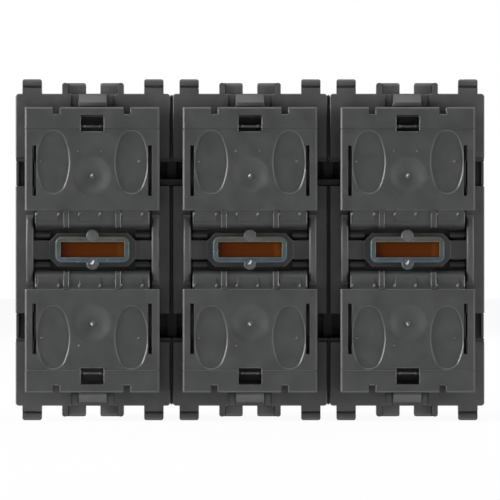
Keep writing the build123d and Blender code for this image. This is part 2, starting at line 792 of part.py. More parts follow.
# Rear casing: one box behind all three frames, with a rebated rim that takes their skirts
with BuildPart() as casing:
    with BuildSketch(front_view(casing_depth)):
        RectangleRounded(casing_width, casing_height, casing_corner)
    extrude(amount=casing_depth + seat_relief)
    chamfer(casing.faces().sort_by(Axis.Y)[-1].edges(), casing_bevel)
    with BuildSketch(front_view(casing_floor)):
        Rectangle(casing_width - 2 * casing_wall, casing_height - 2 * casing_wall)
    extrude(amount=casing_floor + seat_relief, mode=Mode.SUBTRACT)
    rim_depth = skirt_length + rim_play
    with BuildSketch(front_view(rim_depth)):
        Rectangle(casing_width - 2 * rim_wall_side, casing_height - 2 * rim_wall_top)
    extrude(amount=rim_depth + seat_relief, mode=Mode.SUBTRACT)
    # Bosses under the board, each with a pilot bore for its screw
    with BuildSketch(front_view(casing_floor)):
        with Locations(*board_screws):
            Circle(board_boss_radius)
            Circle(screw_radius + screw_clearance, mode=Mode.SUBTRACT)
    extrude(amount=casing_floor - board_rear)
    # Ribs run from the top wall to the bottom one behind the seams, with a foot in the notches
    rib_end = casing_height / 2 - rim_wall_top
    rib_rear = seam_rib_sink + seam_rib_depth
    with BuildSketch(front_view(rib_rear)):
        with Locations(*[(x, 0) for x in seam_centres]):
            Rectangle(seam_rib_width, 2 * rib_end)
    extrude(amount=seam_rib_depth)
    with BuildSketch(front_view(rib_rear)):
        with Locations(*[(x, seam_foot_low + seam_foot_height / 2) for x in seam_centres]):
            Rectangle(seam_foot_width, seam_foot_height)
    extrude(amount=rib_rear + seam_foot_rise)
    # Fins on these ribs fill the seams between the flanges, but not their notches
    fin_front = flange_front + seam_fin_sink
    fin_width = module_gap - 2 * seam_fin_clearance
    fin_start = notch_high - notch_ledge + seam_foot_gap
    fin_end = half_height - seam_fin_inset
    fin_middle = notch_low - seam_foot_gap
    for x in seam_centres:
        with BuildSketch(side_view(x - fin_width / 2)):
            with Locations(((fin_front + seam_rib_sink) / 2, 0)):
                Rectangle(seam_rib_sink - fin_front, 2 * fin_middle)
            for end in (-1, 1):
                with Locations((-(seat_relief - fin_front) / 2, end * (fin_start + fin_end) / 2)):
                    Rectangle(-seat_relief - fin_front, fin_end - fin_start)
                with Locations(((seam_rib_sink - seat_relief) / 2, end * (fin_start + rib_end) / 2)):
                    Rectangle(seam_rib_sink + seat_relief, rib_end - fin_start)
        extrude(amount=fin_width)
    # Tongues on the side walls stand in the outer notches
    tongue_front = flange_front + side_tongue_sink
    side_tongue_low = notch_low + seam_foot_gap
    side_tongue_high = notch_high - notch_ledge - seam_foot_gap
    side_tongue_x = (casing_width - side_tongue_thickness) / 2
    side_tongue_z = (side_tongue_low + side_tongue_high) / 2
    with BuildSketch(front_view(0)):
        with Locations(*[(a * side_tongue_x, b * side_tongue_z) for a in (-1, 1) for b in (-1, 1)]):
            Rectangle(side_tongue_thickness, side_tongue_high - side_tongue_low)
    extrude(amount=-tongue_front)
    # Latch windows in the top and bottom walls of the rim
    latches = [(x + side * latch_x, 0) for x in module_centres for side in (-1, 1)]
    with BuildSketch(front_view(latch_start + latch_length + latch_play)):
        with Locations(*latches):
            Rectangle(latch_width + 2 * latch_play, casing_height)
    extrude(amount=latch_length + 2 * latch_play, mode=Mode.SUBTRACT)
    # Opening for the terminal block, and holes below it for the screwdriver
    with BuildSketch(front_view(casing_depth)):
        with Locations((0, (block_low + block_high) / 2)):
            Rectangle(block_width + 2 * block_clearance, block_height + 2 * block_clearance)
    extrude(amount=casing_wall, mode=Mode.SUBTRACT)
    with BuildSketch(Plane.XY.offset(-casing_height / 2)):
        with Locations(*[(x, terminal_y) for x in pole_centres]):
            Circle(driver_hole_radius)
    extrude(amount=casing_wall, mode=Mode.SUBTRACT)

# Circuit board with its four screws
with BuildPart() as board:
    with BuildSketch(front_view(board_rear)):
        Rectangle(board_width, board_height)
        with Locations(*board_screws):
            Circle(board_hole_radius, mode=Mode.SUBTRACT)
    extrude(amount=board_thickness)

with BuildPart() as screws:
    with BuildSketch(front_view(board_y)):
        with Locations(*board_screws):
            Circle(screw_head_radius)
    extrude(amount=screw_head_height)
    with BuildSketch(front_view(board_rear + screw_length)):
        with Locations(*board_screws):
            Circle(screw_radius)
    extrude(amount=board_thickness + screw_length)
    with BuildSketch(front_view(board_y - screw_head_height)):
        with Locations(*board_screws):
            Rectangle(2 * screw_head_radius, screw_slot_width)
    extrude(amount=-screw_slot_depth, mode=Mode.SUBTRACT)

# Terminal block behind the board: wires enter from the rear, screws are turned from below
with BuildPart() as block:
    with BuildSketch(front_view(block_rear)):
        with Locations((0, (block_low + block_high) / 2)):
            Rectangle(block_width, block_height)
    extrude(amount=block_rear - board_rear)
    chamfer(block.faces().sort_by(Axis.Y)[-1].edges(), block_bevel)
    with BuildSketch(front_view(cavity_rear)):
        with Locations(*[(x, (cavity_low + cavity_high) / 2) for x in pole_centres]):
            Rectangle(cavity_width, cavity_height)
    extrude(amount=cavity_length, mode=Mode.SUBTRACT)
    with BuildSketch(front_view(block_rear)):
        with Locations(*[(x, wire_z) for x in pole_centres]):
            Circle(wire_radius)
    extrude(amount=wire_wall, mode=Mode.SUBTRACT)
    with BuildSketch(Plane.XY.offset(block_low)):
        with Locations(*[(x, terminal_y) for x in pole_centres]):
            Circle(terminal_head_radius + terminal_well_clearance)
    extrude(amount=cavity_low - block_low, mode=Mode.SUBTRACT)
    with BuildSketch(front_view(cavity_front)):
        with Locations(*[(x, contact_z) for x in pole_centres]):
            Rectangle(contact_width + 2 * contact_gap, contact_thickness + 2 * contact_gap)
    extrude(amount=cavity_front - board_rear, mode=Mode.SUBTRACT)

# Wire cages that the screws draw up against the contacts
cage_opening = cage_height - cage_floor - cage_roof
with BuildPart() as clamps:
    with BuildSketch(front_view(terminal_y + cage_length / 2)):
        with Locations(*[(x, (cage_low + cage_high) / 2) for x in pole_centres]):
            Rectangle(cage_width, cage_height)
        with Locations(*[(x, cage_low + cage_floor + cage_opening / 2) for x in pole_centres]):
            Rectangle(cage_width - 2 * cage_side, cage_opening, mode=Mode.SUBTRACT)
    extrude(amount=cage_length)
    with BuildSketch(Plane.XY.offset(cage_low)):
        with Locations(*[(x, terminal_y) for x in pole_centres]):
            Circle(terminal_radius + terminal_clearance)
    extrude(amount=cage_floor, mode=Mode.SUBTRACT)

with BuildPart() as contacts:
    with BuildSketch(front_view(terminal_y + cage_length / 2)):
        with Locations(*[(x, contact_z) for x in pole_centres]):
            Rectangle(contact_width, contact_thickness)
    extrude(amount=terminal_y + cage_length / 2 - board_rear)

terminal_head_low = block_low + terminal_head_sink
with BuildPart() as terminal_screws:
    with BuildSketch(Plane.XY.offset(terminal_head_low)):
        with Locations(*[(x, terminal_y) for x in pole_centres]):
            Circle(terminal_head_radius)
    extrude(amount=terminal_head_height)
    with BuildSketch(Plane.XY.offset(terminal_head_low)):
        with Locations(*[(x, terminal_y) for x in pole_centres]):
            Circle(terminal_radius)
    extrude(amount=cage_low + cage_floor - terminal_head_low)
    with BuildSketch(Plane.XY.offset(terminal_head_low)):
        with Locations(*[(x, terminal_y) for x in pole_centres]):
            Rectangle(2 * terminal_head_radius, screw_slot_width)
    extrude(amount=screw_slot_depth, mode=Mode.SUBTRACT)


def save(piece, name):
    """Label one finished piece and write it."""
    piece.part.label = name
    export_step(piece.part, f"parts/{name}.step")


for name, piece in (
    ("rear_casing", casing),
    ("circuit_board", board),
    ("board_screws", screws),
    ("terminal_block", block),
    ("terminal_clamps", clamps),
    ("terminal_contacts", contacts),
    ("terminal_screws", terminal_screws),
):
    save(piece, name)

# Each module repeats the frame, light guide, window and lamp once
for module_name, module_x in zip(module_names, module_centres):
    for name, piece in (
        ("front_frame", frame),
        ("light_guide", guide),
        ("amber_window", window),
        ("lamp", lamp),
    ):
        with BuildPart() as placed:
            with Locations((module_x, 0, 0)):
                add(piece.part)
        save(placed, f"{name}_{module_name}")
    # The upper row stands as drawn, and the lower row is its mirror image
    for name, piece in (
        ("button", button),
        ("spring", spring),
        ("switch", switch),
        ("plunger", plunger),
    ):
        with BuildPart() as upper:
            with Locations((module_x, 0, 0)):
                add(piece.part)
        save(upper, f"upper_{name}_{module_name}")
        with BuildPart() as lower:
            mirror(upper.part, about=Plane.XY)
        save(lower, f"lower_{name}_{module_name}")
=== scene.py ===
# %% [markdown]
# # A three-gang push-button switch
#
# This script dresses the solid model of a push-button insert: three modules in a row, each
# with two dark plates that rock about a cross bar, and a small amber window in the middle.
# The solids come ready made from the part's source and stay where they are. Here they get
# a camera, light, finishes, and the small moulded marks that are too fine for the solids.

# %% Load the frame
import math

import bmesh
import bpy
from mathutils import Matrix, Vector


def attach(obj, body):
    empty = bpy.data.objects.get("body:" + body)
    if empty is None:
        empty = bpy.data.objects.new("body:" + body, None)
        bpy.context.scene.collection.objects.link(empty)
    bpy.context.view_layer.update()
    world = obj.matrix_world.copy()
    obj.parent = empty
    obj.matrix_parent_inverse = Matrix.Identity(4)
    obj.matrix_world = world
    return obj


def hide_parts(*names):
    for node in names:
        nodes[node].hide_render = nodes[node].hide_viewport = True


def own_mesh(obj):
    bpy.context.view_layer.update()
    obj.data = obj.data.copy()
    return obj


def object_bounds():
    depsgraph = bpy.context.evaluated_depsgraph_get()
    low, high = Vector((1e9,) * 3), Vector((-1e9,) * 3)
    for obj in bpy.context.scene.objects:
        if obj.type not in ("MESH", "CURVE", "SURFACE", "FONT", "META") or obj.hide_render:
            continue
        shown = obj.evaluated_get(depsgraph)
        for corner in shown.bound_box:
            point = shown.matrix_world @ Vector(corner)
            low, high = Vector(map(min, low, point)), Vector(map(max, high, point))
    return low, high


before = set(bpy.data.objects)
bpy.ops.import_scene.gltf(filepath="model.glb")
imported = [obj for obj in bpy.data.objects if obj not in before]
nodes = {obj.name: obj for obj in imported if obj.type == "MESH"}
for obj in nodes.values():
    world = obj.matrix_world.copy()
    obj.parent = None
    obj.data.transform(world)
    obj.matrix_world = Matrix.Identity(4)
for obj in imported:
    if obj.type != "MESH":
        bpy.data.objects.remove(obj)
root_body = "switch_body"
cad_low, cad_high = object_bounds()
print("solid parts:", len(nodes), "box:", [round(v, 5) for v in (*cad_low, *cad_high)])

# %% [markdown]
# ## Camera
#
# The picture is taken square on, from the front, with hardly any perspective. A long lens
# far away would do it, and so would an orthographic camera, but the raised plates come out
# half a percent larger than the flanges behind them, which only perspective gives. So the
# camera stands 600 mm in front of the flanges, with a lens that covers 71.6 mm there.

# %% Camera
camera_distance = 0.6
camera_height = -0.00004
flange_front = -0.0022
view_width = 0.07161
camera_data = bpy.data.cameras.new("camera")
camera_data.sensor_width = 36
camera_data.lens = camera_data.sensor_width * camera_distance / view_width
camera = bpy.data.objects.new("camera", camera_data)
bpy.context.scene.collection.objects.link(camera)
camera.location = (0, flange_front - camera_distance, camera_height)
camera.rotation_euler = (math.radians(90), 0, 0)
bpy.context.scene.camera = camera
print("lens:", round(camera_data.lens, 1), "mm")

# %% [markdown]
# ## Tools for node trees
#
# Every finish below is a small tree of nodes, and so is the background. The same few steps
# come back in all of them, and written out they would hide what a tree is for. So each step
# gets a helper where it is first needed, and a tree reads as a recipe. The first ones make a
# material, set an input or link it, and do a sum.

# %% Node tools
def new_material(name):
    """A new material, with its tree and its main shader."""
    material = bpy.data.materials.new(name)
    material.use_nodes = True
    tree = material.node_tree
    return material, tree, tree.nodes["Principled BSDF"]


def set_inputs(node, values):
    """Set inputs of a node by their names."""
    for name, value in values.items():
        node.inputs[name].default_value = value


def feed(tree, socket, value):
    """Link an input to another node's output, or set it to a plain value."""
    if isinstance(value, bpy.types.NodeSocket):
        tree.links.new(value, socket)
    else:
        socket.default_value = value


def calculate(tree, operation, *values):
    """One sum on outputs and plain numbers."""
    step = tree.nodes.new("ShaderNodeMath")
    step.operation = operation
    for socket, value in zip(step.inputs, values):
        feed(tree, socket, value)
    return step.outputs[0]


print("node tools ready")

# %% [markdown]
# ## Floor and background
#
# The product picture has a pure white background. Turning the lamps up until everything
# behind the switch burns out would spoil the dark plastic, so the white is painted in
# instead: rays that come straight from the camera, or by way of a reflection, see white in
# the world and nearly white on the floor, while the floor still shows a faint shadow.

# %% White for the camera
def white_for_camera(tree, light_shader, white_share):
    """Mix a shader with plain white wherever the camera or a reflection looks at it."""
    ray = tree.nodes.new("ShaderNodeLightPath").outputs
    seen = calculate(tree, "MAXIMUM", ray["Is Camera Ray"], ray["Is Glossy Ray"])
    seen = calculate(tree, "MAXIMUM", seen, ray["Is Transmission Ray"])
    share = calculate(tree, "MULTIPLY", seen, white_share)
    kind = "ShaderNodeBackground" if light_shader.type == "BACKGROUND" else "ShaderNodeEmission"
    white = tree.nodes.new(kind)
    set_inputs(white, {"Color": (1, 1, 1, 1), "Strength": 1})
    mix = tree.nodes.new("ShaderNodeMixShader")
    for socket, source in zip(mix.inputs, (share, light_shader.outputs[0], white.outputs[0])):
        tree.links.new(source, socket)
    return mix


ambient_strength = 0.08
world = bpy.data.worlds.new("studio")
bpy.context.scene.world = world
world.use_nodes = True
ambient = world.node_tree.nodes["Background"]
set_inputs(ambient, {"Color": (1, 1, 1, 1), "Strength": ambient_strength})
world_mix = white_for_camera(world.node_tree, ambient, 1)
world_output = world.node_tree.nodes["World Output"]
world.node_tree.links.new(world_mix.outputs[0], world_output.inputs["Surface"])
bpy.context.scene.view_settings.view_transform = "Standard"
print("ambient light:", ambient_strength)

# %% Floor
floor_width = 3
floor_gap = 0.00005
floor_whiteness = 0.94
bpy.ops.object.select_all(action="DESELECT")
bpy.ops.mesh.primitive_plane_add(size=floor_width, location=(0, 0, cad_low.z - floor_gap))
floor = bpy.context.active_object
floor.name = "floor"
floor_paint, floor_tree, floor_shader = new_material("pale floor")
set_inputs(floor_shader, {"Base Color": (0.8, 0.8, 0.8, 1), "Roughness": 0.9})
floor_mix = white_for_camera(floor_tree, floor_shader, floor_whiteness)
floor_output = floor_tree.nodes["Material Output"]
floor_tree.links.new(floor_mix.outputs[0], floor_output.inputs["Surface"])
floor.data.materials.append(floor_paint)
print("floor at z =", round(floor.location.z, 5))

# %% [markdown]
# ## Light
#
# In the picture the flat faces are dark, but every small bevel is a bright line, on the
# left, on the right, above and below. That is what light from the sides does: it only
# grazes the flat faces, and meets the bevels full on. So soft boxes stand around the
# switch, hardly in front of it, and those on the left are the strongest. One lies under the
# floor, as the lamp of a light table does, so the floor casts no shadow on what is above it.
# The photographer stands in a dark room: a black card behind the camera, seen only in
# reflections, keeps the front faces from mirroring the white background.

# %% Soft boxes
def soft_box(name, place, size, power):
    """An area lamp of a width and height in metres that looks at the middle of the switch."""
    lamp_data = bpy.data.lights.new(name, "AREA")
    lamp_data.shape = "RECTANGLE"
    lamp_data.size, lamp_data.size_y = size
    lamp_data.energy = power
    lamp = bpy.data.objects.new(name, lamp_data)
    bpy.context.scene.collection.objects.link(lamp)
    lamp.location = place
    lamp.rotation_euler = (-Vector(place)).to_track_quat("-Z", "Y").to_euler()
    lamp.visible_camera = False
    return lamp


soft_boxes = [
    soft_box("left strip box", (-0.5, -0.08, 0.15), (0.12, 0.3), 3.2),
    soft_box("left box", (-0.5, -0.25, 0.15), (0.2, 0.3), 1.3),
    soft_box("right box", (0.5, -0.25, 0.05), (0.2, 0.3), 1.85),
    soft_box("top strip box", (0, -0.05, 0.5), (0.5, 0.1), 0.85),
    soft_box("light table box", (0, -0.05, -0.5), (0.5, 0.1), 0.8),
    soft_box("rear box", (0.15, 0.5, 0.3), (0.3, 0.3), 1.5),
]
floor.visible_shadow = False
print("lamps:", [(lamp.name, lamp.data.energy) for lamp in soft_boxes])

# %% Black card
card_width = 1.3
card_distance = 0.95
bpy.ops.object.select_all(action="DESELECT")
bpy.ops.mesh.primitive_plane_add(
    size=card_width,
    location=(0, -card_distance, 0),
    rotation=(math.radians(90), 0, 0),
)
card = bpy.context.active_object
card.name = "black_card"
card_paint, _, card_shader = new_material("black card")
set_inputs(card_shader, {"Base Color": (0.01, 0.01, 0.01, 1), "Specular IOR Level": 0})
card.data.materials.append(card_paint)
card.visible_camera = False
card.visible_diffuse = False
card.visible_transmission = False
card.visible_shadow = False
print("card:", [round(v, 2) for v in card.dimensions])

# %% [markdown]
# ## Moulded plastic
#
# The frames, plates and casing are injection moulded in a dark charcoal plastic. Real
# moulded surfaces are never one flat colour: they have a very fine grain from the mould,
# and the gloss wanders a little where the plastic flowed. A picture of a texture would do
# that, but noise made by the material itself needs no file and keeps its scale on every
# piece. So a coarse noise goes into the colour and the roughness, and a fine one into a
# bump. No moulded edge is truly sharp either. A bevel on every edge of every solid would be
# a lot of mesh for a tenth of a millimetre, so the shader's own Bevel bends the light there.

# %% Noise in colour and gloss
noise_low, noise_high = 0.3, 0.7


def fit_range(tree, value, low, high, to_low=0, to_high=1, curve="LINEAR"):
    """Fit a value from one range to another, and hold it at the ends."""
    fitted = tree.nodes.new("ShaderNodeMapRange")
    fitted.interpolation_type = curve
    set_inputs(fitted, {"From Min": low, "From Max": high, "To Min": to_low, "To Max": to_high})
    tree.links.new(value, fitted.inputs["Value"])
    return fitted.outputs["Result"]


def colour_ramp(tree, value, stops):
    """Look a value up in a ramp of colours, given as positions with their colours."""
    lookup = tree.nodes.new("ShaderNodeValToRGB")
    ramp = lookup.color_ramp
    for element, (position, colour) in zip(ramp.elements, (stops[0], stops[-1])):
        element.position = position
        element.color = (*colour, 1)
    for position, colour in stops[1:-1]:
        ramp.elements.new(position).color = (*colour, 1)
    tree.links.new(value, lookup.inputs["Fac"])
    return lookup.outputs["Color"]


def add_noise(tree, scale, detail, stretch=(1, 1, 1)):
    """Noise on the piece's own coordinates, drawn out along an axis whose stretch is below 1."""
    place = tree.nodes.new("ShaderNodeTexCoord")
    turn = tree.nodes.new("ShaderNodeMapping")
    turn.inputs["Scale"].default_value = stretch
    tree.links.new(place.outputs["Object"], turn.inputs["Vector"])
    noise = tree.nodes.new("ShaderNodeTexNoise")
    set_inputs(noise, {"Scale": scale, "Detail": detail})
    tree.links.new(turn.outputs["Vector"], noise.inputs["Vector"])
    return noise.outputs["Fac"]


def vary_finish(tree, noise, colour, variation, roughness, spread):
    """Let a noise wander through the colour and the roughness of a shader."""
    shader = tree.nodes["Principled BSDF"]
    darkest = [channel * (1 - variation) for channel in colour]
    brightest = [channel * (1 + variation) for channel in colour]
    colours = colour_ramp(tree, noise, [(noise_low, darkest), (noise_high, brightest)])
    glossiest, dullest = roughness - spread, roughness + spread
    gloss = fit_range(tree, noise, noise_low, noise_high, glossiest, dullest)
    tree.links.new(colours, shader.inputs["Base Color"])
    tree.links.new(gloss, shader.inputs["Roughness"])


print("noise runs from", noise_low, "to", noise_high)

# %% Grain and rounded light
edge_samples = 6


def soft_normal(tree, radius):
    """The direction of a surface whose sharp edges are rounded."""
    edges = tree.nodes.new("ShaderNodeBevel")
    edges.samples = edge_samples
    edges.inputs["Radius"].default_value = radius
    return edges.outputs["Normal"]


def add_relief(tree, height, distance, strength=1):
    """Raise the surface by a height, on top of the relief that it has."""
    bump = tree.nodes.new("ShaderNodeBump")
    set_inputs(bump, {"Strength": strength, "Distance": distance})
    tree.links.new(height, bump.inputs["Height"])
    normal = tree.nodes["Principled BSDF"].inputs["Normal"]
    if normal.links:
        tree.links.new(normal.links[0].from_socket, bump.inputs["Normal"])
    tree.links.new(bump.outputs["Normal"], normal)
    return bump


def add_grain(tree, noise, height, edge_radius):
    """Give the surface a fine grain, and light its sharp edges as if they were rounded."""
    normal = tree.nodes["Principled BSDF"].inputs["Normal"]
    tree.links.new(soft_normal(tree, edge_radius), normal)
    add_relief(tree, noise, height, strength=0.5)


def moulded_plastic(name, colour, roughness, variation=0.12, grain=0.00001, edge_radius=0.00012):
    """Plastic with fine mould grain, wandering gloss, a slight mottle and softened edges."""
    material, tree, shader = new_material(name)
    shader.inputs["Specular IOR Level"].default_value = 0.35
    mottle = add_noise(tree, scale=420, detail=4)
    vary_finish(tree, mottle, colour, variation, roughness, spread=0.06)
    add_grain(tree, add_noise(tree, scale=6500, detail=3), grain, edge_radius)
    return material


print("bevel samples:", edge_samples)

# %% [markdown]
# The plates need two things more. Their hinge rolls lie in shade, and a step runs across
# each plate near its outer edge, with a thin shadow in it. Both are painted into the colour
# as painted shade. They follow the height above or below the middle of the switch, so one
# ramp paints that shade in the upper and the lower row alike. And the dish in the middle of
# each plate has a soft rim, which a bump makes a little steeper.

# %% Mixes, axes and modules
module_pitch = 0.0225


def mix_colours(tree, share, first, second, blend="MIX"):
    """Mix two colours by a share."""
    mix = tree.nodes.new("ShaderNodeMix")
    mix.data_type = "RGBA"
    mix.blend_type = blend
    share_input, first_input, second_input, colour_output = 0, 6, 7, 2
    feed(tree, mix.inputs[share_input], share)
    feed(tree, mix.inputs[first_input], first)
    feed(tree, mix.inputs[second_input], second)
    return mix.outputs[colour_output]


def own_axes(tree):
    """The X, Y and Z of a piece's own coordinates."""
    place = tree.nodes.new("ShaderNodeTexCoord")
    axes = tree.nodes.new("ShaderNodeSeparateXYZ")
    tree.links.new(place.outputs["Object"], axes.inputs["Vector"])
    return axes.outputs


def across_module(tree, x):
    """The distance from the middle of the nearest module, so that all modules look alike."""
    return calculate(tree, "WRAP", x, module_pitch / 2, -module_pitch / 2)


print("the pattern repeats every", module_pitch, "m")

# %% Painted shade on rolls and steps, and deeper dishes
def paint_shade_by_height(material, stops):
    """Paint shade into a finish by its height in millimetres above or below the middle."""
    tree = material.node_tree
    full_height = 25
    away = calculate(tree, "ABSOLUTE", own_axes(tree)["Z"])
    share = fit_range(tree, away, 0, full_height / 1000)
    stops = [(height / full_height, (shade, shade, shade)) for height, shade in stops]
    colour = tree.nodes["Principled BSDF"].inputs["Base Color"]
    plain = colour.links[0].from_socket
    shaded = mix_colours(tree, 1, plain, colour_ramp(tree, share, stops), "MULTIPLY")
    tree.links.new(shaded, colour)


def deepen_dishes(material, height, inner, outer, depth):
    """Steepen the rim of the dish in each plate, which the light from the right picks out."""
    tree = material.node_tree
    axes = own_axes(tree)
    away = calculate(tree, "ABSOLUTE", axes["Z"])
    offset = tree.nodes.new("ShaderNodeCombineXYZ")
    tree.links.new(across_module(tree, axes["X"]), offset.inputs["X"])
    tree.links.new(calculate(tree, "SUBTRACT", away, height), offset.inputs["Z"])
    radius = tree.nodes.new("ShaderNodeVectorMath")
    radius.operation = "LENGTH"
    tree.links.new(offset.outputs[0], radius.inputs[0])
    rim = fit_range(tree, radius.outputs["Value"], inner, outer, curve="SMOOTHSTEP")
    add_relief(tree, rim, depth)


print("plate tools ready")

# %% Frames, plates and casing
frame_plastic = moulded_plastic("charcoal frame plastic", (0.063, 0.063, 0.064), 0.42)
plate_plastic = moulded_plastic("charcoal plate plastic", (0.051, 0.053, 0.052), 0.4)
casing_plastic = moulded_plastic("charcoal casing plastic", (0.055, 0.055, 0.057), 0.5)
# Painted shade: the rolls darken towards their lower edge, and the step gets a thin painted
# shadow line.
roll_painted_shade = [(2.9, 0.56), (4.2, 0.7), (5.5, 0.8), (5.6, 1)]
step_painted_shadow = [(17.17, 1), (17.19, 0.4), (17.31, 0.4), (17.33, 1)]
paint_shade_by_height(plate_plastic, roll_painted_shade + step_painted_shadow)
dish_height = 0.01054
deepen_dishes(plate_plastic, dish_height, inner=0.0012, outer=0.0028, depth=0.0002)


def finish_with(material, *words):
    """Give a material to every solid whose name holds one of the words."""
    names = [name for name in nodes if any(word in name for word in words)]
    for name in names:
        nodes[name].data.materials.clear()
        nodes[name].data.materials.append(material)
    return names


plates = finish_with(plate_plastic, "button")
frames = finish_with(frame_plastic, "front_frame")
finish_with(casing_plastic, "rear_casing")
print("plates:", len(plates), "frames:", len(frames))

# %% [markdown]
# ## Clear light guide and amber window
#
# The light guide is one clear moulding, so its rim shows the dark boss through it. Along
# its edges it is paler, a painted highlight where the shader's bevel rounds them. Clear
# plastic refracts more than water and less than glass, and a hint of thin film gives the
# bluish and rosy tints that strained clear plastic has. The window is a pane of deep amber,
# lighter towards its right end, where it is cut.

# %% Clear plastic
guide_low, guide_high = -0.0016, 0.0012
flat_face, round_edge = 1, 0.85


def tint_clear(tree, low_tint, high_tint, edge_highlight):
    """Tint a clear piece from its lower to its upper side, and paint a highlight along its edges.
    """
    colour = tree.nodes["Principled BSDF"].inputs["Base Color"]
    plain = colour.links[0].from_socket
    height = fit_range(tree, own_axes(tree)["Z"], guide_low, guide_high)
    tints = colour_ramp(tree, height, [(0, low_tint), (1, high_tint)])
    tinted = mix_colours(tree, 1, plain, tints, "MULTIPLY")
    face = tree.nodes.new("ShaderNodeNewGeometry")
    flatness = tree.nodes.new("ShaderNodeVectorMath")
    flatness.operation = "DOT_PRODUCT"
    tree.links.new(soft_normal(tree, 0.0002), flatness.inputs[0])
    tree.links.new(face.outputs["True Normal"], flatness.inputs[1])
    edge = fit_range(tree, flatness.outputs["Value"], flat_face, round_edge)
    tree.links.new(mix_colours(tree, edge, tinted, (*edge_highlight, 1)), colour)


clear_plastic, clear_tree, clear_shader = new_material("clear guide plastic")
set_inputs(clear_shader, {"Transmission Weight": 0.4, "IOR": 1.49})
set_inputs(clear_shader, {"Thin Film Thickness": 420, "Thin Film IOR": 1.33})
clear_grey = (0.12, 0.12, 0.12)
clear_mottle = add_noise(clear_tree, scale=600, detail=3)
vary_finish(clear_tree, clear_mottle, clear_grey, variation=0.2, roughness=0.22, spread=0.06)
# The paler edge colour is a painted highlight along the guide's rounded edges.
bluish, rosy, edge_painted_highlight = (0.75, 0.98, 1.4), (1.02, 1.0, 0.98), (0.3, 0.32, 0.34)
tint_clear(clear_tree, bluish, rosy, edge_painted_highlight)
clear_grain = add_noise(clear_tree, scale=2500, detail=2)
add_grain(clear_tree, clear_grain, height=0.000005, edge_radius=0.00018)
finish_with(clear_plastic, "light_guide")
print("clear:", clear_plastic.name)

# %% Amber pane
def amber_pane(name):
    """Amber whose depth follows the pane from left to right, the same in every module."""
    material, tree, shader = new_material(name)
    half_width = 0.0045
    cloudiness = 0.12
    along = fit_range(tree, across_module(tree, own_axes(tree)["X"]), -half_width, half_width)
    cloud = add_noise(tree, scale=700, detail=3, stretch=(0.4, 1, 1))
    clouded = calculate(tree, "MULTIPLY_ADD", cloud, cloudiness, along)
    stops = [
        (0.05, (0.05, 0.009, 0.002)),
        (0.2, (0.072, 0.015, 0.0015)),
        (0.93, (0.076, 0.019, 0.0015)),
        (1.0, (0.125, 0.034, 0.004)),
    ]
    tree.links.new(colour_ramp(tree, clouded, stops), shader.inputs["Base Color"])
    set_inputs(shader, {"Roughness": 0.22, "Specular IOR Level": 0.1})
    return material


amber = amber_pane("amber window plastic")
finish_with(amber, "amber_window")
print("amber:", amber.name)

# %% [markdown]
# ## Finishes of the parts inside
#
# Behind the front lie springs of rolled steel, small switches with a pale plunger, a green
# circuit board, and the screw terminals. Rolled and turned metal is scratched in one
# direction, so its noise is drawn out along that direction, and the same helper serves
# steel, zinc plate and brass. The board is a green lacquer over copper areas, which stand a
# little proud of it: a brick pattern without its bricks' colours gives their outlines.

# %% Metals
def drawn_metal(name, colour, roughness, stretch):
    """Metal whose fine scratches run along the axis with the smallest stretch."""
    material, tree, shader = new_material(name)
    shader.inputs["Metallic"].default_value = 1
    streaks = add_noise(tree, 1800, 4, stretch)
    vary_finish(tree, streaks, colour, variation=0.14, roughness=roughness, spread=0.08)
    scratches = add_noise(tree, 5200, 3, stretch)
    add_grain(tree, scratches, height=0.000006, edge_radius=0.00008)
    return material


spring_steel = drawn_metal("rolled spring steel", (0.62, 0.62, 0.63), 0.3, (1, 1, 0.06))
zinc_plate = drawn_metal("zinc plated steel", (0.6, 0.6, 0.62), 0.34, (1, 1, 0.5))
clamp_steel = drawn_metal("plated clamp steel", (0.58, 0.58, 0.56), 0.38, (0.08, 1, 1))
stamped_brass = drawn_metal("stamped brass", (0.72, 0.52, 0.22), 0.28, (1, 0.08, 1))
finish_with(spring_steel, "spring")
finish_with(zinc_plate, "board_screws", "terminal_screws")
finish_with(clamp_steel, "terminal_clamps")
finish_with(stamped_brass, "terminal_contacts")
print("metals:", spring_steel.name, zinc_plate.name, clamp_steel.name, stamped_brass.name)

# %% Circuit board lacquer
board_lacquer, board_tree, board_shader = new_material("board lacquer over copper")
board_place = board_tree.nodes.new("ShaderNodeTexCoord")
board_turn = board_tree.nodes.new("ShaderNodeMapping")
board_turn.inputs["Rotation"].default_value = (math.radians(90), 0, 0)
board_tree.links.new(board_place.outputs["Object"], board_turn.inputs["Vector"])
copper = board_tree.nodes.new("ShaderNodeTexBrick")
set_inputs(copper, {"Scale": 130, "Mortar Size": 0.035})
copper.inputs["Color1"].default_value = (0.016, 0.07, 0.03, 1)
copper.inputs["Color2"].default_value = (0.02, 0.085, 0.036, 1)
copper.inputs["Mortar"].default_value = (0.009, 0.04, 0.018, 1)
board_tree.links.new(board_turn.outputs["Vector"], copper.inputs["Vector"])
board_tree.links.new(copper.outputs["Color"], board_shader.inputs["Base Color"])
copper_step = add_relief(board_tree, copper.outputs["Fac"], 0.00003)
copper_step.invert = True
board_shader.inputs["Roughness"].default_value = 0.3
finish_with(board_lacquer, "circuit_board")
print("board:", board_lacquer.name)

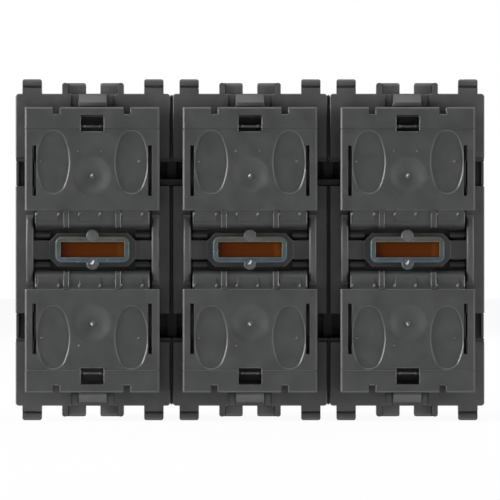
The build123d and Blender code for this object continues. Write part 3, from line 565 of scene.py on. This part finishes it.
# %% Switches, plungers, lamps and terminal block
switch_plastic = moulded_plastic("dark switch plastic", (0.03, 0.03, 0.032), 0.45)
pale, grey = (0.5, 0.45, 0.37), (0.28, 0.29, 0.3)
plunger_plastic = moulded_plastic("pale plunger plastic", pale, 0.4, variation=0.06)
block_plastic = moulded_plastic("grey terminal plastic", grey, 0.45, variation=0.06)
yellow = (0.8, 0.66, 0.26)
lamp_resin = moulded_plastic(
    "yellow lamp resin", yellow, 0.2, variation=0.1, grain=0.000004
)
lamp_resin.node_tree.nodes["Principled BSDF"].inputs["Coat Weight"].default_value = 0.3
finish_with(switch_plastic, "_switch_")
finish_with(plunger_plastic, "plunger")
finish_with(lamp_resin, "lamp_")
finish_with(block_plastic, "terminal_block")
print("all solids finished:", all(node.data.materials for node in nodes.values()))

# %% [markdown]
# ## Moulded details
#
# The solids carry the shapes that fit and move. What is left is the fine relief that a
# moulding has: ramps of the latch tongues and floors of the channels beside them, round
# noses of the inner tabs, paler with painted light, the face of the boss, darker with painted
# shade, cheeks of the cross bar, strips deep in the seams, and rounded ribs on the hinge
# rolls. A maker would file such a block from bar stock, and so it goes here: a block is
# sized, cut along a plane, and its edges are rounded.
# Most are made once, for the middle module's upper row, and copied to the others, upside
# down for the lower row. All sizes are in millimetres, as in the part's source.

# %% Cutting and rounding
smooth_below = math.radians(35)


def mm(*values):
    """Millimetres as Blender's metres."""
    return tuple(value / 1000 for value in values)


def in_edit(piece):
    """Open one piece for editing, with everything in it selected."""
    bpy.ops.object.select_all(action="DESELECT")
    piece.select_set(True)
    bpy.context.view_layer.objects.active = piece
    bpy.ops.object.mode_set(mode="EDIT")
    bpy.ops.mesh.select_all(action="SELECT")


def slice_off(piece, point, away):
    """Cut a piece along a plane and drop what lies on the side that the arrow points to."""
    in_edit(piece)
    bpy.ops.mesh.bisect(plane_co=mm(*point), plane_no=away, use_fill=True, clear_outer=True)
    bpy.ops.object.mode_set(mode="OBJECT")


def round_edges(piece, radius, segments=2):
    """Round every sharp edge of a piece."""
    bevel = piece.modifiers.new("rounding", "BEVEL")
    bevel.width = radius / 1000
    bevel.segments = segments
    bevel.limit_method = "ANGLE"
    bpy.context.view_layer.objects.active = piece
    bpy.ops.object.modifier_apply(modifier=bevel.name)


print("faces that meet below", round(math.degrees(smooth_below)), "degrees look smooth")

# %% Blocks and finished pieces
def settle():
    """Put the place, turn and scale of the new piece into its mesh."""
    bpy.ops.object.transform_apply(location=True, rotation=True, scale=True)
    return bpy.context.active_object


def block(low, high):
    """A block between two corners."""
    bpy.ops.object.select_all(action="DESELECT")
    middle = [(a + b) / 2 for a, b in zip(low, high)]
    bpy.ops.mesh.primitive_cube_add(size=1, location=mm(*middle))
    bpy.context.active_object.scale = mm(*[b - a for a, b in zip(low, high)])
    return settle()


def join_as(name, parts, material):
    """Make one piece of several, smooth its curved faces, and give it its finish."""
    bpy.ops.object.select_all(action="DESELECT")
    for part in parts:
        part.select_set(True)
    bpy.context.view_layer.objects.active = parts[0]
    if len(parts) > 1:
        bpy.ops.object.join()
    piece = bpy.context.active_object
    piece.name = name
    bpy.ops.object.shade_smooth_by_angle(angle=smooth_below)
    piece.data.materials.clear()
    piece.data.materials.append(material)
    return piece


print("block tools ready")

# %% Copies of a pattern
modules = {"left": -module_pitch, "middle": 0.0, "right": module_pitch}
rows = {"upper": 1, "lower": -1}
sides = {"left": -1, "right": 1}


def copy_to(pattern, name, x, row=1):
    """A copy with its own mesh moved along x, and upside down for the lower row."""
    other = pattern.copy()
    other.data = pattern.data.copy()
    other.name = name
    bpy.context.scene.collection.objects.link(other)
    other.data.transform(Matrix.Translation((x, 0, 0)) @ Matrix.Diagonal((1, 1, row, 1)))
    if row < 0:
        other.data.flip_normals()
    return other


def copy_to_modules(*patterns):
    """Copy patterns, each with its name and row, to every module, where they stay fixed."""
    for module, x in modules.items():
        for name, pattern, row in patterns:
            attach(copy_to(pattern, f"{name}_{module}", x, row), root_body)
    for pattern in {pattern for _, pattern, _ in patterns}:
        bpy.data.objects.remove(pattern)


print("modules:", modules)

# %% Latch tongue ramps
tongue_half_width = 2
tongue_back = -1.6
tongue_root = -2.2
tip_front, tip_height = -3.38, 20.5
flange_edge = 22.33
lower_tongue_top = 21.75
spare_stock = 0.1


def tongue_ramp(top):
    """The ramp of a latch tongue, from its top at the flange to its tip near the plate."""
    low = (-tongue_half_width, tip_front - spare_stock, tip_height)
    ramp = block(low, (tongue_half_width, tongue_back, top))
    slice_off(ramp, (0, tongue_root, top), (0, tip_height - top, tongue_root - tip_front))
    round_edges(ramp, radius=0.08)
    return join_as("ramp", [ramp], frame_plastic)


channel_starts = (-3.15, 2.0)
channel_width = 1.15
channel_low = 20.45
channel_front_low, channel_front_high, channel_back = -2.05, -1.5, -1.0
floors = [
    block((x, channel_front_low, channel_low), (x + channel_width, channel_back, flange_edge))
    for x in channel_starts
]
channel_slope = (0, channel_low - flange_edge, channel_front_high - channel_front_low)
for channel_floor in floors:
    slice_off(channel_floor, (0, channel_front_high, flange_edge), channel_slope)
    round_edges(channel_floor, radius=0.04)
channel_floors = join_as("floors", floors, frame_plastic)
copy_to_modules(
    ("tongue_ramp_upper", tongue_ramp(flange_edge), 1),
    ("tongue_ramp_lower", tongue_ramp(lower_tongue_top), -1),
    ("channel_floors_upper", channel_floors, 1),
    ("channel_floors_lower", channel_floors, -1),
)
print("tongue ramps and channel floors in place")

# %% Tab noses
nose_front, nose_back = -1.45, -0.9
nose_low, nose_high = 22.3, 23.87
nose_inner, nose_outer = 1.08, 3.5
nose_radius = 0.5


def tab_nose(low_x, high_x):
    """The recessed face of an inner tab, whose top rolls back in a round nose."""
    nose = block((low_x, nose_front, nose_low), (high_x, nose_back, nose_high))
    in_edit(nose)
    bpy.ops.mesh.select_mode(type="EDGE")
    shape = bmesh.from_edit_mesh(nose.data)
    _, near_front, near_top = mm(0, nose_front + 0.05, nose_high - 0.07)
    for edge in shape.edges:
        middle = (edge.verts[0].co + edge.verts[1].co) / 2
        edge.select_set(middle.y < near_front and middle.z > near_top)
    shape.select_flush_mode()
    bmesh.update_edit_mesh(nose.data)
    bpy.ops.mesh.bevel(offset=nose_radius / 1000, segments=6)
    bpy.ops.object.mode_set(mode="OBJECT")
    return nose


# A paler copy of the frame plastic: painted light on the tab noses, which catch more light than
# the flange around them.
nose_painted_light_plastic = moulded_plastic("frame plastic with painted light", (0.085, 0.085, 0.087), 0.42)
noses = [tab_nose(-nose_outer, -nose_inner), tab_nose(nose_inner, nose_outer)]
noses = join_as("noses", noses, nose_painted_light_plastic)
copy_to_modules(("tab_noses_upper", noses, 1), ("tab_noses_lower", noses, -1))
print("tab noses in place")

# %% Notch floors
notch_inner, notch_outer = 32.2, 33.1
notch_front, notch_back = -0.9, -0.5
notch_low, notch_high = 9.15, 13.2
for side_name, side in sides.items():
    low_x, high_x = sorted((side * notch_inner, side * notch_outer))
    notch_floor = block((low_x, notch_front, notch_low), (high_x, notch_back, notch_high))
    round_edges(notch_floor, radius=0.05)
    notch_floor = join_as("floor", [notch_floor], frame_plastic)
    for row, sign in rows.items():
        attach(copy_to(notch_floor, f"notch_floor_{row}_{side_name}", 0, sign), root_body)
    bpy.data.objects.remove(notch_floor)
print("notch floors in place")

# %% Boss face, darker with painted shade
boss_half_width, boss_half_height = 6.13, 2.35
boss_front, boss_back = -3.34, -3.1
corner_x, corner_z = 5.5, 1.72
boss_face = block(
    (-boss_half_width, boss_front, -boss_half_height),
    (boss_half_width, boss_back, boss_half_height),
)
for side_x in (-1, 1):
    for side_z in (-1, 1):
        corner = (side_x * corner_x, 0, side_z * corner_z)
        slice_off(boss_face, corner, (side_x, 0, side_z))
# The cut along the back leaves a second face there, out of sight in the frame's boss.
slice_off(boss_face, (0, boss_back, 0), (0, 1, 0))
round_edges(boss_face, radius=0.03)
# A darker copy of the plastic on the boss face: painted shade, where the boss lies deep behind
# the guide's rim.
boss_painted_shade_grey = (0.02, 0.02, 0.021)
boss_painted_shade_plastic = moulded_plastic("boss plastic with painted shade", boss_painted_shade_grey, 0.6, edge_radius=0.00002)
boss_face = join_as("boss", [boss_face], boss_painted_shade_plastic)
copy_to_modules(("boss_face", boss_face, 1))
print("boss faces:", boss_painted_shade_plastic.name)

# %% Cross bar cheeks
cheek_starts = (-8.4, 6.25)
cheek_width = 2.15
cheek_front, cheek_back = -2.75, -1.4
cheek_half_height = 1.42
cheeks = [
    block((x, cheek_front, -cheek_half_height), (x + cheek_width, cheek_back, cheek_half_height))
    for x in cheek_starts
]
for cheek in cheeks:
    round_edges(cheek, radius=0.2, segments=3)
bar_cheeks = join_as("cheeks", cheeks, frame_plastic)
copy_to_modules(("bar_cheeks", bar_cheeks, 1))
print("cross bar cheeks in place")

# %% Seam strips
strip_half_width = 0.17
strip_front, strip_back = -1.25, -0.1
strip_low, strip_high = 20.6, 22.15
strip = block(
    (-strip_half_width, strip_front, strip_low),
    (strip_half_width, strip_back, strip_high),
)
round_edges(strip, radius=0.05)
seam_strip = join_as("strip", [strip], casing_plastic)
for side_name, side in sides.items():
    for row, sign in rows.items():
        seam_x = side * module_pitch / 2
        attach(copy_to(seam_strip, f"seam_strip_{row}_{side_name}", seam_x, sign), root_body)
bpy.data.objects.remove(seam_strip)
print("seam strips in place")

# %% [markdown]
# ## Leaf springs
#
# Each leaf lies on the web with its root, and the plate rests on its two tips. As the
# button goes in, the leaf gives way, which a rigid solid can't. A copy of the solid, with
# its loose triangles merged and its edges rounded, stands for it, fixed to the frame with a
# mesh of its own.

# %% Leaf springs
for row in rows:
    for module in modules:
        solid = nodes[f"{row}_spring_{module}"]
        leaf = bpy.data.objects.new("leaf", solid.data.copy())
        bpy.context.scene.collection.objects.link(leaf)
        in_edit(leaf)
        bpy.ops.mesh.remove_doubles(threshold=0.000001)
        bpy.ops.mesh.dissolve_limited(angle_limit=math.radians(1))
        bpy.ops.object.mode_set(mode="OBJECT")
        round_edges(leaf, radius=0.04)
        leaf = join_as(f"leaf_spring_{row}_{module}", [leaf], spring_steel)
        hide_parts(f"{row}_spring_{module}")
        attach(leaf, root_body)
        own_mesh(leaf)

# %% Round bars, and copies for the buttons
def bar(place, radius, length, turn, corners):
    """A round bar about a point, turned about X, Y and Z."""
    bpy.ops.object.select_all(action="DESELECT")
    bpy.ops.mesh.primitive_cylinder_add(
        vertices=corners,
        radius=radius / 1000,
        depth=length / 1000,
        location=mm(*place),
        rotation=[math.radians(angle) for angle in turn],
    )
    return settle()


def copy_to_buttons(*patterns):
    """Copy patterns, each with its name and its form in each row, to every button."""
    for module, x in modules.items():
        for row, sign in rows.items():
            for name, forms in patterns:
                piece = copy_to(forms[row], f"{name}_{row}_{module}", x, sign)
                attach(piece, f"{row}_button_{module}")
    for pattern in {forms[row] for _, forms in patterns for row in rows}:
        bpy.data.objects.remove(pattern)


print("buttons:", [f"{row}_button_{module}" for module in modules for row in rows])

# %% Ribs on the hinge rolls, with painted highlights on their edges
roll_axis = (-2.0, 5.6)
roll_cut = 0.5
rib_x = 3.7
rib_side = 0.34
end_x = 8.08


def roll_band(x, width, radius, rim, low, high):
    """A rounded band around the front of a hinge roll."""
    band = bar((x, *roll_axis), radius, width, (0, 90, 0), corners=96)
    round_edges(band, rim)
    slice_off(band, (x, 0, high), (0, 0, 1))
    slice_off(band, (x, 0, low), (0, 0, -1))
    slice_off(band, (x, roll_axis[0] - roll_cut, 0), (0, 1, 0))
    return band


# A paler, glossier copy of the charcoal plastic: painted highlight for edges and small marks that
# catch the light.
painted_highlight_grey = (0.11, 0.113, 0.112)
painted_highlight_plastic = moulded_plastic(
    "charcoal plastic with painted highlight", painted_highlight_grey, 0.3, variation=0.25, grain=0.00002
)
ribs = [
    roll_band(x, width=0.75, radius=3.26, rim=0.12, low=3.05, high=5.15) for x in (-rib_x, rib_x)
]
roll_ribs = join_as("ribs", ribs, plate_plastic)
# Thin bands in the paler finish at the sides of each rib and at the ends of the roll: painted
# highlights along those edges.
edges = [
    roll_band(x + side, width=0.15, radius=3.29, rim=0.05, low=3.1, high=5.1)
    for x in (-rib_x, rib_x)
    for side in (-rib_side, rib_side)
]
edges += [
    roll_band(x, width=0.15, radius=3.04, rim=0.05, low=3.7, high=5.5) for x in (-end_x, end_x)
]
roll_highlight_bands = join_as("edges", edges, painted_highlight_plastic)
copy_to_buttons(
    ("roll_ribs", {"upper": roll_ribs, "lower": roll_ribs}),
    ("roll_highlight_bands", {"upper": roll_highlight_bands, "lower": roll_highlight_bands}),
)
print("roll ribs:", len(ribs), "and bright edges:", len(edges), "on each roll")

# %% [markdown]
# ## Small marks
#
# A close look at the plates shows what every moulding carries: the round scar of the gate
# in the middle of the dish, low beads that the ejector pins left, and lips around the notches
# and the clip hole. At the corners of the pads on the rolls little glints shine. All these
# catch the light more than the grained faces around them, so their finish is paler and
# glossier: a painted highlight, with small beads for the glints at the pad corners.

# %% Rings and beads
ring_thickness = 0.2
bead_foot = 0.04


def disc(place, radius, thickness, corners=24):
    """A round plate that looks forward."""
    return bar(place, radius, thickness, (90, 0, 0), corners)


def ring(place, radius, rim, sink):
    """A low disc with a raised rim."""
    piece = disc(place, radius, ring_thickness)
    in_edit(piece)
    bpy.ops.mesh.select_mode(type="FACE")
    shape = bmesh.from_edit_mesh(piece.data)
    for face in shape.faces:
        face.select_set(face.normal.y < -0.9)
    shape.select_flush_mode()
    bmesh.update_edit_mesh(piece.data)
    bpy.ops.mesh.inset(thickness=rim / 1000)
    bpy.ops.transform.translate(value=(0, sink / 1000, 0))
    bpy.ops.object.mode_set(mode="OBJECT")
    return piece


def bead(place, radius, height, length=1, turn=0):
    """A low dome on a face that looks forward, longer one way and turned if asked."""
    bpy.ops.object.select_all(action="DESELECT")
    bpy.ops.mesh.primitive_uv_sphere_add(segments=16, ring_count=8, radius=1, location=mm(*place))
    dome = bpy.context.active_object
    dome.scale = mm(radius, height, radius * length)
    dome.rotation_euler = (0, math.radians(turn), 0)
    settle()
    slice_off(dome, (place[0], place[1] + bead_foot, place[2]), (0, 1, 0))
    return dome


print("a bead goes", bead_foot, "mm into the face that it sits on")

# %% Lips of notches and clip holes
notch_x = 5.03
notch_end, notch_mouth = 19.16, 20.3
lip_front, lip_back = -5.34, -4.6
lip_width = 0.16
lip_half_length = 0.5
lip_side = 0.4
hole_x = 1.7
hole_end, hole_mouth = 16.9, 19.05
hole_lip_front, hole_lip_back = -5.33, -4.9
hole_lip = 0.07
end_lip_low, end_lip_high = (-1.55, -5.18, 16.74), (1.55, -4.8, 16.87)


def notch_lips(x):
    """The raised lips at the right and at the inner end of a notch in the plate's edge."""
    right = x + lip_side
    low, high = x - lip_half_length, x + lip_half_length
    return [
        block((right, lip_front, notch_end + 0.04), (right + lip_width, lip_back, notch_mouth)),
        block((low, lip_front, notch_end), (high, lip_back, notch_end + lip_width)),
    ]


def clip_hole_lips():
    """The raised lips at both sides and at the inner end of the clip hole."""
    lips = [
        block((x - hole_lip, hole_lip_front, hole_end), (x + hole_lip, hole_lip_back, hole_mouth))
        for x in (-hole_x, hole_x)
    ]
    return lips + [block(end_lip_low, end_lip_high)]


print("lips stand", round(-lip_front, 2), "mm in front of the seat")

# %% Marks on the plates
plate_front = -5.2
dish_floor = -4.85
dish_middle = dish_height * 1000
oval_floor = -5.0
pin_height = 12.6
pad_front, pad_edge = -4.98, 5.1
pad_corners = (-7.95, -4.8, -1.85, 1.1, 4.1, 7.1)


def plate_marks(dots, glint_turn):
    """The gate ring, beads, lips and dots of one button, with painted glints at the pad corners.
    """
    parts = [ring((0, dish_floor, dish_middle), radius=0.42, rim=0.12, sink=0.08)]
    pins = [(x, oval_floor, pin_height) for x in (-7.25, 6.65)]
    parts += [bead(pin, radius=0.2, height=0.08) for pin in pins]
    parts += [bead((x, plate_front, z), radius=0.22, height=0.08) for x, z in dots]
    parts += [lip for x in (-notch_x, notch_x) for lip in notch_lips(x)]
    parts += clip_hole_lips()
    # Painted glints: pale beads at the corners of the pads.
    for x in pad_corners:
        corner = (x, pad_front, pad_edge)
        parts.append(bead(corner, radius=0.17, height=0.24, length=1.7, turn=glint_turn))
    return join_as("marks", parts, painted_highlight_plastic)


upper_marks = plate_marks(dots=[(-2.05, 14.1), (1.33, 14.1)], glint_turn=32)
lower_marks = plate_marks(dots=[(-1.9, 13.7)], glint_turn=-32)
copy_to_buttons(("plate_marks", {"upper": upper_marks, "lower": lower_marks}))
print("plate marks made for", len(modules) * len(rows), "buttons")

# %% Clip rods
rod_place = (0, -4.25, 17.6)
knob_x, knob_front, knob_height = 1.2, -4.35, 17.62
# The rod and its knobs take the paler finish of painted highlight.
rod = bar(rod_place, radius=0.19, length=3.4, turn=(0, 90, 0), corners=20)
knob_places = [(x, knob_front, knob_height) for x in (-knob_x, knob_x)]
knobs = [bead(place, radius=0.24, height=0.2) for place in knob_places]
clip_rod = join_as("rod", [rod, *knobs], painted_highlight_plastic)
copy_to_buttons(("clip_rod", {"upper": clip_rod, "lower": clip_rod}))
print("clip rods in place")

# %% Marks on the back
# They are made as if they looked forward, and then mirrored to the casing's rear.
casing_rear = -20
ring_middle = casing_rear + 0.05
pin_x, pin_z = 26, 15
gate_z = 14
pins = [(x, ring_middle, z) for x in (-pin_x, pin_x) for z in (-pin_z, pin_z)]
rear_marks = [ring(pin, radius=1.6, rim=0.2, sink=0.1) for pin in pins]
rear_marks += [ring((0, ring_middle, gate_z), radius=0.9, rim=0.25, sink=0.1)]
rear_marks += [bead((0, casing_rear, gate_z), radius=0.35, height=0.15)]
rear_marks = join_as("rear_marks", rear_marks, casing_plastic)
rear_marks.data.transform(Matrix.Diagonal((1, -1, 1, 1)))
rear_marks.data.flip_normals()
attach(rear_marks, root_body)
print("rear marks:", len(rear_marks.data.polygons), "faces")

# %% Lobes of the light guide
guide_front = -4.1
lobe_height = 1.98
lobe_grey = (0.085, 0.085, 0.085)
lobe_plastic = moulded_plastic("sheared clear plastic", lobe_grey, 0.3, variation=0.2)
cap = disc((0, guide_front, lobe_height), radius=0.82, thickness=0.12, corners=32)
round_edges(cap, radius=0.05)
upper_lobe = join_as("lobe", [cap], lobe_plastic)
lower_ring = ring((0, guide_front, -lobe_height), radius=0.72, rim=0.12, sink=0.05)
lower_lobe = join_as("ring", [lower_ring], lobe_plastic)
copy_to_modules(("guide_lobe", upper_lobe, 1), ("guide_ring", lower_lobe, 1))
print("guide lobes in place")

# %% Bright gates, with painted glints
# Where the runner was sheared off, a speck of broken plastic is whitened, and its glitter is
# painted in as a pale, glossy glint.
painted_glint_white = (0.62, 0.62, 0.62)
painted_glint_plastic = moulded_plastic(
    "sheared gate with painted glint", painted_glint_white, 0.15, variation=0.5, grain=0.00005
)
gate_front = guide_front - 0.03
gate = [
    bead((0.06, gate_front, -1.82), radius=0.17, height=0.14, length=2, turn=25),
    bead((-0.2, gate_front, -2.0), radius=0.12, height=0.1),
]
lower_gate = join_as("gate", gate, painted_glint_plastic)
copy_to_modules(("guide_gate", lower_gate, 1))
scar_place = (-0.06, dish_floor - 0.08, dish_middle + 0.08)
scar = bead(scar_place, radius=0.12, height=0.1, length=2, turn=35)
scar = join_as("scar", [scar], painted_glint_plastic)
copy_to_buttons(("gate_scar", {"upper": scar, "lower": scar}))
print("bright gates in place")
